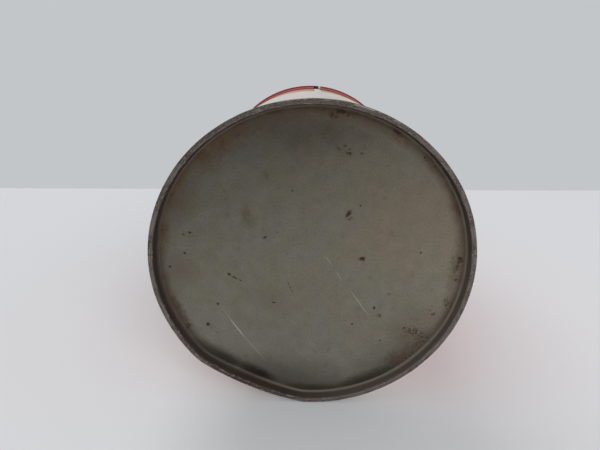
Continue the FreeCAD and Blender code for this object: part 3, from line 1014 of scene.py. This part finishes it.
class TINBOX_OT_body_wall(bpy.types.Operator):
    """Rolled and printed wall: hook at its foot, lock seam inside, rim rolled outwards."""

    bl_idname = "tinbox.body_wall"
    bl_label = "Body wall"

    def execute(self, context):
        sizes = context.scene.tin_sizes
        fold = fold_radius(sizes)
        inside = sizes.body_radius - sizes.gauge
        hook = inside + 2 * fold
        foot = sizes.gauge + sizes.fold_gap
        roll_height = sizes.rim_height - sizes.rim_roll
        face = bent((
            (hook, sizes.body_hook_top),
            (hook, foot, fold),
            (inside, foot, fold),
            (inside, sizes.lock_foot - LOCK_RAMP, 0),
            (inside, sizes.lock_foot, 0),
            (inside, sizes.lock_top, 0),
            (inside, sizes.lock_top + LOCK_RAMP, 0),
            (inside, roll_height),
        ))
        face = divided(face, WALL_RUN)
        wall_runs = len(face) - 1
        turns = math.pi - sizes.rim_turn * np.linspace(0, 1, ROLL_POINTS + 1)[1:]
        roll = sizes.rim_roll * np.stack((np.cos(turns), np.sin(turns)), axis=1)
        face = np.vstack((face, roll + (inside + sizes.rim_roll, roll_height)))
        half_lock = sizes.lock_width / 2 / inside
        edge = LOCK_EDGE / inside
        seam = np.array((-half_lock - edge, -half_lock, 0, half_lock, half_lock + edge)) + math.pi / 2
        angles = round_angles(seam)
        rows = turned(thickened(face, -sizes.gauge), angles)
        rows = worn_round(rows, sizes.seam_radius)
        away = np.abs(angles - math.pi / 2)
        lock = np.interp(away, (half_lock, half_lock + edge), (1, 0))
        heights = (sizes.lock_foot - LOCK_RAMP, sizes.lock_foot, sizes.lock_top, sizes.lock_top + LOCK_RAMP)
        run = np.interp(face[:, 1], heights, (0, 1, 1, 0)) * (face[:, 0] < inside + 1e-6)
        stand = 1 - sizes.lock_depth / inside * np.outer(run, lock)
        rows[:len(face), :, :2] *= stand[..., None]
        front = [1] * wall_runs + [2] * (len(face) - wall_runs)
        mesh = closed_mesh("body_wall_printed", rows, front + [0] * len(face))
        finishes = (litho_print, plain_tinplate, browned_rim_tinplate)
        put_in_place(mesh, finishes, "tin", "body_wall")
        return {"FINISHED"}


class TINBOX_OT_side_seam_solder(bpy.types.Operator):
    """Uneven run of solder wiped down the outside of the lock seam."""

    bl_idname = "tinbox.side_seam_solder"
    bl_label = "Side seam solder"

    def execute(self, context):
        sizes = context.scene.tin_sizes
        half_width = (SOLDER_HIGH.x - SOLDER_LOW.x) / 2
        depth = SOLDER_HIGH.y - sizes.body_radius
        heights = np.linspace(SOLDER_LOW.z, SOLDER_HIGH.z, SOLDER_ROWS)
        across = np.linspace(-1, 1, SOLDER_ACROSS)
        chance = np.random.default_rng(7)
        wobble = self.uneven(chance, SOLDER_ROWS, WOBBLE_ROWS)
        swell = self.uneven(chance, SOLDER_ROWS, SWELL_ROWS)
        section = np.concatenate((across, across[-2:0:-1]))
        bulge = np.concatenate((np.sqrt(np.clip(1 - across ** 4, 0, 1)), np.zeros(len(across) - 2)))
        rows = []
        for height, side, rise in zip(heights, wobble, swell):
            width = half_width * (1 - SOLDER_WOBBLE + SOLDER_WOBBLE * np.tanh(side))
            turn = math.pi / 2 - section * width / sizes.body_radius
            stand = SOLDER_BITE + depth * (1 - SOLDER_SWELL + SOLDER_SWELL * np.tanh(rise))
            radius = sizes.body_radius - SOLDER_BITE + stand * bulge
            rows.append(np.stack((radius * np.cos(turn), radius * np.sin(turn), 0 * turn + height), axis=1))
        rows = worn_round(np.array(rows), sizes.seam_radius)
        mesh = capped_mesh("side_seam_solder_run", rows)
        put_in_place(mesh, (dull_solder,), "tin", "side_seam_solder")
        return {"FINISHED"}

    @staticmethod
    def uneven(chance, count, spread):
        """Random values about 0, each the mean of as many draws in a row as spread says."""
        return np.convolve(chance.normal(0, 1, count + spread - 1), np.ones(spread) / spread, "valid")


class TINBOX_OT_lid_top(bpy.types.Operator):
    """Pressed cap of the lid, its edge folded under the plug ring's flange."""

    bl_idname = "tinbox.lid_top"
    bl_label = "Lid top"

    def execute(self, context):
        sizes = context.scene.tin_sizes
        fold = fold_radius(sizes)
        edge_top = LID_LOW.z + 2 * fold
        panel = LID_HIGH.z - sizes.cap_step
        face = bent((
            (0, panel),
            (sizes.cap_panel, panel, sizes.cap_foot),
            (sizes.cap_panel + 2 * sizes.cap_step, LID_HIGH.z, sizes.cap_foot),
            (sizes.cap_radius, LID_HIGH.z, sizes.cap_corner),
            (sizes.cap_radius, edge_top, sizes.cap_foot),
            (sizes.lid_radius, edge_top, fold),
            (sizes.lid_radius, LID_LOW.z, fold),
            (sizes.hem_radius, LID_LOW.z),
        ))
        face = divided(face, LID_RUN)
        rows = turned(thickened(face, -sizes.gauge), round_angles())
        mesh = closed_mesh("lid_top_enamelled", rows, [0] * len(face) + [1] * len(face))
        put_in_place(mesh, (stoved_lid_enamel, plain_tinplate), "lid", "lid_top")
        return {"FINISHED"}


class TINBOX_OT_lid_plug_ring(bpy.types.Operator):
    """Plain ring that plugs the mouth, flanged out into the lid's hem."""

    bl_idname = "tinbox.lid_plug_ring"
    bl_label = "Lid plug ring"

    def execute(self, context):
        sizes = context.scene.tin_sizes
        flange_foot = PLUG_HIGH.z - sizes.gauge
        face = bent((
            (sizes.plug_radius - sizes.plug_lip, PLUG_LOW.z),
            (sizes.plug_radius, PLUG_LOW.z, sizes.plug_bend),
            (sizes.plug_radius, flange_foot, sizes.flange_bend),
            (PLUG_HIGH.x, flange_foot),
        ))
        face = divided(face, LID_RUN)
        rows = turned(thickened(face, sizes.gauge), round_angles())
        mesh = closed_mesh("lid_plug_ring_tinplate", rows, [0] * (2 * len(face)))
        put_in_place(mesh, (plain_tinplate,), "lid", "lid_plug_ring")
        return {"FINISHED"}


def floor_finish(name, tone, lying):
    """Matt pale paper that shows from its front only, and lets every light through."""
    material = bpy.data.materials.new(name)
    add = start_nodes(material)
    rays = add("ShaderNodeLightPath").node.outputs
    face = add("ShaderNodeNewGeometry").node.outputs
    seen = rays["Is Camera Ray"]
    if lying:
        # Above the standing floor the lying one shows only through it, so it is no wall behind the tin
        height = add(SPLIT, face["Position"]).node.outputs["Z"]
        low = add(BELOW, height, 0.0)
        through = add(ABOVE, rays["Transparent Depth"], 0.5)
        seen = add(TIMES, seen, most(add, low, through))
        mirrored = add(TIMES, low, rays["Is Glossy Ray"])
        seen = most(add, seen, mirrored)
    front = add(MINUS, seen, face["Backfacing"], use_clamp=True)
    matt = add("ShaderNodeBsdfDiffuse", tone)
    clear = add("ShaderNodeBsdfTransparent")
    shown = add(MIX_SHADERS, front, clear, matt)
    add("ShaderNodeOutputMaterial", sockets={"Surface": shown})
    return material


def stage_sheet(name, corners, material):
    """Flat sheet of the stage through four corners, front where they run anticlockwise."""
    mesh = bpy.data.meshes.new(name)
    mesh.from_pydata([tuple(corner) for corner in corners], [], [(0, 1, 2, 3)])
    mesh.materials.append(material)
    sheet = bpy.data.objects.new(name, mesh)
    bpy.context.scene.collection.objects.link(sheet)


def soft_light(name, place, size, power):
    """Square soft box that faces the tin."""
    light = bpy.data.lights.new(name, "AREA")
    light.size = size
    light.energy = power
    lamp = bpy.data.objects.new(name, light)
    lamp.location = place
    lamp.rotation_euler = (LIT_POINT - Vector(place)).to_track_quat("-Z", "Y").to_euler()
    bpy.context.scene.collection.objects.link(lamp)


class TINBOX_OT_stage(bpy.types.Operator):
    """Camera before the base of the lying tin, pale sheets under it both ways, and soft light."""

    bl_idname = "tinbox.stage"
    bl_label = "Stage"

    def execute(self, context):
        scene = context.scene
        stage, sizes = scene.tin_stage, scene.tin_sizes
        scene.view_settings.view_transform = "Standard"
        turn = stage.seam_turn
        up = Vector((math.sin(turn), math.cos(turn), 0))
        right = Vector((-math.cos(turn), math.sin(turn), 0))
        self.set_camera(scene, stage, up, right)
        self.lay_floor(stage, sizes, up, right)
        self.set_world(scene, stage)
        for box in SOFT_BOXES:
            soft_light(*box)
        return {"FINISHED"}

    @staticmethod
    def set_camera(scene, stage, up, right):
        """Camera that looks along the lying tin from its base."""
        camera = bpy.data.objects.new("camera", bpy.data.cameras.new("camera"))
        camera.data.sensor_width = 36
        camera.data.lens = stage.lens
        camera.data.clip_start = 0.01
        along = Vector((0, 0, 1))
        level = along * math.cos(stage.camera_yaw) - right * math.sin(stage.camera_yaw)
        ahead = level * math.cos(stage.camera_pitch) - up * math.sin(stage.camera_pitch)
        side = ahead.cross(up).normalized()
        above = side.cross(ahead)
        place = up * stage.camera_up - right * stage.camera_aside - along * stage.camera_back
        camera.matrix_world = Matrix((side, above, -ahead)).transposed().to_4x4()
        camera.matrix_world.translation = place
        scene.collection.objects.link(camera)
        scene.camera = camera

    @staticmethod
    def lay_floor(stage, sizes, up, right):
        """Sheets under the lying and the standing tin."""
        near, far = LYING_ENDS
        along = Vector((0, 0, 1))
        slope = (WALL_HIGH.x - sizes.seam_radius) / sizes.rim_height
        corners = []
        for side, depth in ((-1, near), (1, near), (1, far), (-1, far)):
            drop = sizes.seam_radius + LYING_CLEAR + slope * depth
            corners.append(right * side * LYING_HALF + along * depth - up * drop)
        stage_sheet("lying_floor", corners, floor_finish("lying_floor_paper", stage.floor, True))
        level = [(x * STANDING_HALF, y * STANDING_HALF, STANDING_HEIGHT)
                 for x, y in ((-1, -1), (1, -1), (1, 1), (-1, 1))]
        stage_sheet("standing_floor", level, floor_finish("standing_floor_paper", stage.floor, False))

    @staticmethod
    def set_world(scene, stage):
        """Pale surround, and the light that fills the shade."""
        world = bpy.data.worlds.new("pale_surround")
        add = start_nodes(world)
        rays = add("ShaderNodeLightPath").node.outputs
        heading = add("ShaderNodeTexCoord").node.outputs["Generated"]
        along = add(SPLIT, heading).node.outputs["Z"]
        # The room is darker behind the camera, which the base mirrors
        level = add(RANGE, along, -0.98, -0.6, 0.3, 1.0)
        fill = add(BACKGROUND, *FILL)
        mirrored = add(BACKGROUND, stage.surround, level)
        wall = add(BACKGROUND, stage.surround, 1.0)
        shown = add(MIX_SHADERS, rays["Is Glossy Ray"], fill, mirrored)
        straight = most(add, rays["Is Camera Ray"], rays["Is Transmission Ray"])
        shown = add(MIX_SHADERS, straight, shown, wall)
        add("ShaderNodeOutputWorld", sockets={"Surface": shown})
        scene.world = world


OPERATORS = (TINBOX_OT_base_end, TINBOX_OT_body_wall, TINBOX_OT_side_seam_solder, TINBOX_OT_lid_top,
             TINBOX_OT_lid_plug_ring, TINBOX_OT_stage)
GROUPS = {"tin_sizes": TinSizes, "tin_wear": WearSizes, "tin_colours": TinColours, "tin_stage": StageSizes}


class TINBOX_PT_sidebar(bpy.types.Panel):
    """Sizes, colours and build steps of the tin."""

    bl_idname = "TINBOX_PT_sidebar"
    bl_label = "Tin box"
    bl_space_type = "VIEW_3D"
    bl_region_type = "UI"
    bl_category = "Tin box"

    def draw(self, context):
        for operator in OPERATORS:
            self.layout.operator(operator.bl_idname)
        for name, group in GROUPS.items():
            box = self.layout.box()
            for setting in group.__annotations__:
                box.prop(getattr(context.scene, name), setting)


def register():
    for group in GROUPS.values():
        bpy.utils.register_class(group)
    for name, group in GROUPS.items():
        setattr(bpy.types.Scene, name, PointerProperty(type=group))
    for operator in OPERATORS:
        bpy.utils.register_class(operator)
    bpy.utils.register_class(TINBOX_PT_sidebar)


def unregister():
    bpy.utils.unregister_class(TINBOX_PT_sidebar)
    for operator in reversed(OPERATORS):
        bpy.utils.unregister_class(operator)
    for name in GROUPS:
        delattr(bpy.types.Scene, name)
    for group in reversed(GROUPS.values()):
        bpy.utils.unregister_class(group)


def main():
    register()
    bpy.ops.tinbox.base_end()
    bpy.ops.tinbox.body_wall()
    bpy.ops.tinbox.side_seam_solder()
    bpy.ops.tinbox.lid_top()
    bpy.ops.tinbox.lid_plug_ring()
    bpy.ops.tinbox.stage()


if __name__ == "__main__":
    main()
